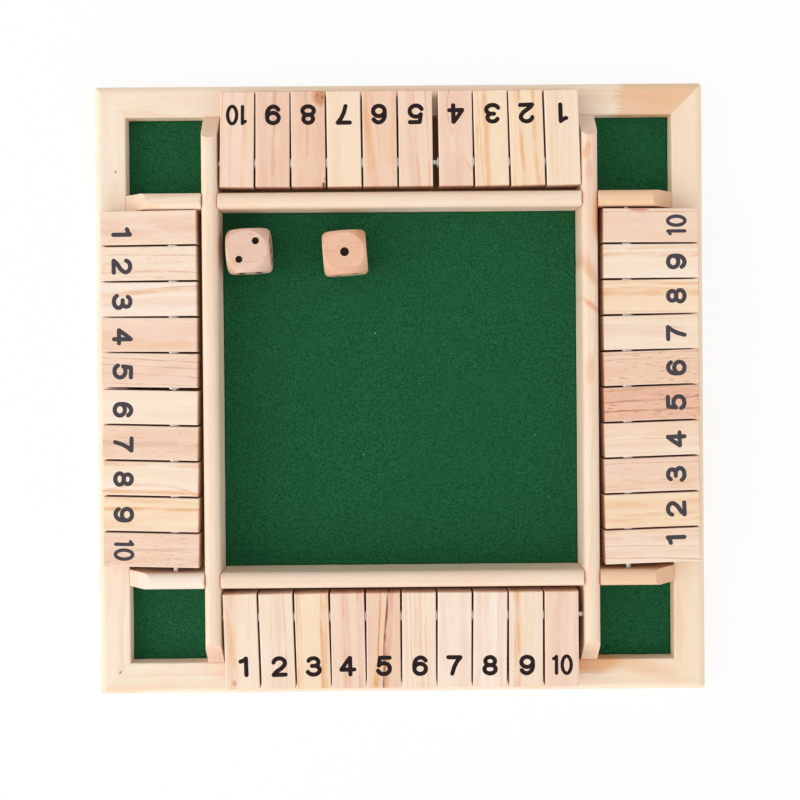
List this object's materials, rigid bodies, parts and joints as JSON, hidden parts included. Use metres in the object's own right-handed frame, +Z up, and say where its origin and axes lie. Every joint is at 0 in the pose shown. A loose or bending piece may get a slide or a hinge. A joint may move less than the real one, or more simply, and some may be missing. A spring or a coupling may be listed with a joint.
{
  "type": "shut the box game",
  "caption": "Square wooden game tray with a felt-lined dice well, felt corner pockets, rows of numbered tiles that flip on steel rods along each side, and loose dice.",
  "frame": {"origin": "centre of the underside, on the surface that the board stands on", "axes": "+Z up; +X towards the right row and +Y towards the back row, as seen by the player of the front row"},
  "size_m": [0.305, 0.305, 0.0276],
  "materials": {
    "pine_frame": "sanded, unfinished",
    "pine_rail": "sanded, unfinished",
    "plywood": "sanded, unfinished",
    "green_felt": "short napped felt",
    "steel_rod": "bright drawn",
    "steel_washer": "bright",
    "die_wood": "sanded, sealed",
    "tile_pale": "sanded, unfinished",
    "tile_cream": "sanded, unfinished",
    "tile_peach": "sanded, unfinished",
    "tile_tan": "sanded, unfinished",
    "tile_honey": "sanded, unfinished",
    "tile_rose": "sanded, unfinished"
  },
  "bodies": {
    "board": {"frame_front": "pine_frame", "frame_right": "pine_frame", "frame_back": "pine_frame", "frame_left": "pine_frame", "base_panel": "plywood", "felt_well": "green_felt", "felt_pockets": "green_felt", "long_rail_left": "pine_rail", "long_rail_right": "pine_rail", "cross_rail_front": "pine_rail", "cross_rail_back": "pine_rail", "corner_rail_front_left": "pine_rail", "corner_rail_front_right": "pine_rail", "corner_rail_back_left": "pine_rail", "corner_rail_back_right": "pine_rail", "pivot_rods": "steel_rod", "washers": "steel_washer"},
    "tile_front_1": {"tile_front_1": "tile_cream"},
    "tile_front_2": {"tile_front_2": "tile_cream"},
    "tile_front_3": {"tile_front_3": "tile_honey"},
    "tile_front_4": {"tile_front_4": "tile_peach"},
    "tile_front_5": {"tile_front_5": "tile_tan"},
    "tile_front_6": {"tile_front_6": "tile_cream"},
    "tile_front_7": {"tile_front_7": "tile_pale"},
    "tile_front_8": {"tile_front_8": "tile_pale"},
    "tile_front_9": {"tile_front_9": "tile_cream"},
    "tile_front_10": {"tile_front_10": "tile_peach"},
    "tile_right_1": {"tile_right_1": "tile_cream"},
    "tile_right_2": {"tile_right_2": "tile_honey"},
    "tile_right_3": {"tile_right_3": "tile_peach"},
    "tile_right_4": {"tile_right_4": "tile_cream"},
    "tile_right_5": {"tile_right_5": "tile_rose"},
    "tile_right_6": {"tile_right_6": "tile_tan"},
    "tile_right_7": {"tile_right_7": "tile_cream"},
    "tile_right_8": {"tile_right_8": "tile_honey"},
    "tile_right_9": {"tile_right_9": "tile_pale"},
    "tile_right_10": {"tile_right_10": "tile_peach"},
    "tile_back_1": {"tile_back_1": "tile_cream"},
    "tile_back_2": {"tile_back_2": "tile_honey"},
    "tile_back_3": {"tile_back_3": "tile_honey"},
    "tile_back_4": {"tile_back_4": "tile_peach"},
    "tile_back_5": {"tile_back_5": "tile_peach"},
    "tile_back_6": {"tile_back_6": "tile_tan"},
    "tile_back_7": {"tile_back_7": "tile_pale"},
    "tile_back_8": {"tile_back_8": "tile_tan"},
    "tile_back_9": {"tile_back_9": "tile_tan"},
    "tile_back_10": {"tile_back_10": "tile_peach"},
    "tile_left_1": {"tile_left_1": "tile_cream"},
    "tile_left_2": {"tile_left_2": "tile_cream"},
    "tile_left_3": {"tile_left_3": "tile_pale"},
    "tile_left_4": {"tile_left_4": "tile_peach"},
    "tile_left_5": {"tile_left_5": "tile_peach"},
    "tile_left_6": {"tile_left_6": "tile_pale"},
    "tile_left_7": {"tile_left_7": "tile_peach"},
    "tile_left_8": {"tile_left_8": "tile_pale"},
    "tile_left_9": {"tile_left_9": "tile_honey"},
    "tile_left_10": {"tile_left_10": "tile_peach"},
    "die_left": {"die_left": "die_wood"},
    "die_right": {"die_right": "die_wood"}
  },
  "joints": [
    {"name": "flip_front_1", "type": "hinge", "parent": "board", "child": "tile_front_1", "pos_m": [-0.0807, -0.1123, 0.0206], "axis": [-1, 0, 0], "range_deg": [0, 140]},
    {"name": "flip_front_2", "type": "hinge", "parent": "board", "child": "tile_front_2", "pos_m": [-0.0631, -0.1123, 0.0206], "axis": [-1, 0, 0], "range_deg": [0, 140]},
    {"name": "flip_front_3", "type": "hinge", "parent": "board", "child": "tile_front_3", "pos_m": [-0.0455, -0.1123, 0.0206], "axis": [-1, 0, 0], "range_deg": [0, 140]},
    {"name": "flip_front_4", "type": "hinge", "parent": "board", "child": "tile_front_4", "pos_m": [-0.0279, -0.1123, 0.0206], "axis": [-1, 0, 0], "range_deg": [0, 140]},
    {"name": "flip_front_5", "type": "hinge", "parent": "board", "child": "tile_front_5", "pos_m": [-0.0103, -0.1123, 0.0206], "axis": [-1, 0, 0], "range_deg": [0, 140]},
    {"name": "flip_front_6", "type": "hinge", "parent": "board", "child": "tile_front_6", "pos_m": [0.0073, -0.1123, 0.0206], "axis": [-1, 0, 0], "range_deg": [0, 140]},
    {"name": "flip_front_7", "type": "hinge", "parent": "board", "child": "tile_front_7", "pos_m": [0.0249, -0.1123, 0.0206], "axis": [-1, 0, 0], "range_deg": [0, 140]},
    {"name": "flip_front_8", "type": "hinge", "parent": "board", "child": "tile_front_8", "pos_m": [0.0425, -0.1123, 0.0206], "axis": [-1, 0, 0], "range_deg": [0, 140]},
    {"name": "flip_front_9", "type": "hinge", "parent": "board", "child": "tile_front_9", "pos_m": [0.0601, -0.1123, 0.0206], "axis": [-1, 0, 0], "range_deg": [0, 140]},
    {"name": "flip_front_10", "type": "hinge", "parent": "board", "child": "tile_front_10", "pos_m": [0.0777, -0.1123, 0.0206], "axis": [-1, 0, 0], "range_deg": [0, 140]},
    {"name": "flip_right_1", "type": "hinge", "parent": "board", "child": "tile_right_1", "pos_m": [0.1123, -0.07915, 0.0206], "axis": [0, -1, 0], "range_deg": [0, 120]},
    {"name": "flip_right_2", "type": "hinge", "parent": "board", "child": "tile_right_2", "pos_m": [0.1123, -0.06155, 0.0206], "axis": [0, -1, 0], "range_deg": [0, 140]},
    {"name": "flip_right_3", "type": "hinge", "parent": "board", "child": "tile_right_3", "pos_m": [0.1123, -0.04395, 0.0206], "axis": [0, -1, 0], "range_deg": [0, 140]},
    {"name": "flip_right_4", "type": "hinge", "parent": "board", "child": "tile_right_4", "pos_m": [0.1123, -0.02635, 0.0206], "axis": [0, -1, 0], "range_deg": [0, 140]},
    {"name": "flip_right_5", "type": "hinge", "parent": "board", "child": "tile_right_5", "pos_m": [0.1123, -0.00875, 0.0206], "axis": [0, -1, 0], "range_deg": [0, 140]},
    {"name": "flip_right_6", "type": "hinge", "parent": "board", "child": "tile_right_6", "pos_m": [0.1123, 0.00885, 0.0206], "axis": [0, -1, 0], "range_deg": [0, 140]},
    {"name": "flip_right_7", "type": "hinge", "parent": "board", "child": "tile_right_7", "pos_m": [0.1123, 0.02645, 0.0206], "axis": [0, -1, 0], "range_deg": [0, 140]},
    {"name": "flip_right_8", "type": "hinge", "parent": "board", "child": "tile_right_8", "pos_m": [0.1123, 0.04445, 0.0206], "axis": [0, -1, 0], "range_deg": [0, 140]},
    {"name": "flip_right_9", "type": "hinge", "parent": "board", "child": "tile_right_9", "pos_m": [0.1123, 0.06205, 0.0206], "axis": [0, -1, 0], "range_deg": [0, 140]},
    {"name": "flip_right_10", "type": "hinge", "parent": "board", "child": "tile_right_10", "pos_m": [0.1123, 0.07965, 0.0206], "axis": [0, -1, 0], "range_deg": [0, 120]},
    {"name": "flip_back_1", "type": "hinge", "parent": "board", "child": "tile_back_1", "pos_m": [0.0809, 0.1123, 0.0206], "axis": [1, 0, 0], "range_deg": [0, 140]},
    {"name": "flip_back_2", "type": "hinge", "parent": "board", "child": "tile_back_2", "pos_m": [0.0633, 0.1123, 0.0206], "axis": [1, 0, 0], "range_deg": [0, 140]},
    {"name": "flip_back_3", "type": "hinge", "parent": "board", "child": "tile_back_3", "pos_m": [0.0457, 0.1123, 0.0206], "axis": [1, 0, 0], "range_deg": [0, 140]},
    {"name": "flip_back_4", "type": "hinge", "parent": "board", "child": "tile_back_4", "pos_m": [0.0281, 0.1123, 0.0206], "axis": [1, 0, 0], "range_deg": [0, 140]},
    {"name": "flip_back_5", "type": "hinge", "parent": "board", "child": "tile_back_5", "pos_m": [0.0083, 0.1123, 0.0206], "axis": [1, 0, 0], "range_deg": [0, 140]},
    {"name": "flip_back_6", "type": "hinge", "parent": "board", "child": "tile_back_6", "pos_m": [-0.0093, 0.1123, 0.0206], "axis": [1, 0, 0], "range_deg": [0, 140]},
    {"name": "flip_back_7", "type": "hinge", "parent": "board", "child": "tile_back_7", "pos_m": [-0.0269, 0.1123, 0.0206], "axis": [1, 0, 0], "range_deg": [0, 140]},
    {"name": "flip_back_8", "type": "hinge", "parent": "board", "child": "tile_back_8", "pos_m": [-0.0445, 0.1123, 0.0206], "axis": [1, 0, 0], "range_deg": [0, 140]},
    {"name": "flip_back_9", "type": "hinge", "parent": "board", "child": "tile_back_9", "pos_m": [-0.0621, 0.1123, 0.0206], "axis": [1, 0, 0], "range_deg": [0, 140]},
    {"name": "flip_back_10", "type": "hinge", "parent": "board", "child": "tile_back_10", "pos_m": [-0.0797, 0.1123, 0.0206], "axis": [1, 0, 0], "range_deg": [0, 140]},
    {"name": "flip_left_1", "type": "hinge", "parent": "board", "child": "tile_left_1", "pos_m": [-0.1123, 0.08035, 0.0206], "axis": [0, 1, 0], "range_deg": [0, 120]},
    {"name": "flip_left_2", "type": "hinge", "parent": "board", "child": "tile_left_2", "pos_m": [-0.1123, 0.06275, 0.0206], "axis": [0, 1, 0], "range_deg": [0, 140]},
    {"name": "flip_left_3", "type": "hinge", "parent": "board", "child": "tile_left_3", "pos_m": [-0.1123, 0.04515, 0.0206], "axis": [0, 1, 0], "range_deg": [0, 140]},
    {"name": "flip_left_4", "type": "hinge", "parent": "board", "child": "tile_left_4", "pos_m": [-0.1123, 0.02755, 0.0206], "axis": [0, 1, 0], "range_deg": [0, 140]},
    {"name": "flip_left_5", "type": "hinge", "parent": "board", "child": "tile_left_5", "pos_m": [-0.1123, 0.00995, 0.0206], "axis": [0, 1, 0], "range_deg": [0, 140]},
    {"name": "flip_left_6", "type": "hinge", "parent": "board", "child": "tile_left_6", "pos_m": [-0.1123, -0.00865, 0.0206], "axis": [0, 1, 0], "range_deg": [0, 140]},
    {"name": "flip_left_7", "type": "hinge", "parent": "board", "child": "tile_left_7", "pos_m": [-0.1123, -0.02625, 0.0206], "axis": [0, 1, 0], "range_deg": [0, 140]},
    {"name": "flip_left_8", "type": "hinge", "parent": "board", "child": "tile_left_8", "pos_m": [-0.1123, -0.04385, 0.0206], "axis": [0, 1, 0], "range_deg": [0, 140]},
    {"name": "flip_left_9", "type": "hinge", "parent": "board", "child": "tile_left_9", "pos_m": [-0.1123, -0.06145, 0.0206], "axis": [0, 1, 0], "range_deg": [0, 140]},
    {"name": "flip_left_10", "type": "hinge", "parent": "board", "child": "tile_left_10", "pos_m": [-0.1123, -0.07905, 0.0206], "axis": [0, 1, 0], "range_deg": [0, 120]},
    {"name": "lift_die_left", "type": "slide", "parent": "board", "child": "die_left", "axis": [0, 0, 1], "range_m": [0, 0.05]},
    {"name": "lift_die_right", "type": "slide", "parent": "board", "child": "die_right", "axis": [0, 0, 1], "range_m": [0, 0.05]}
  ]
}
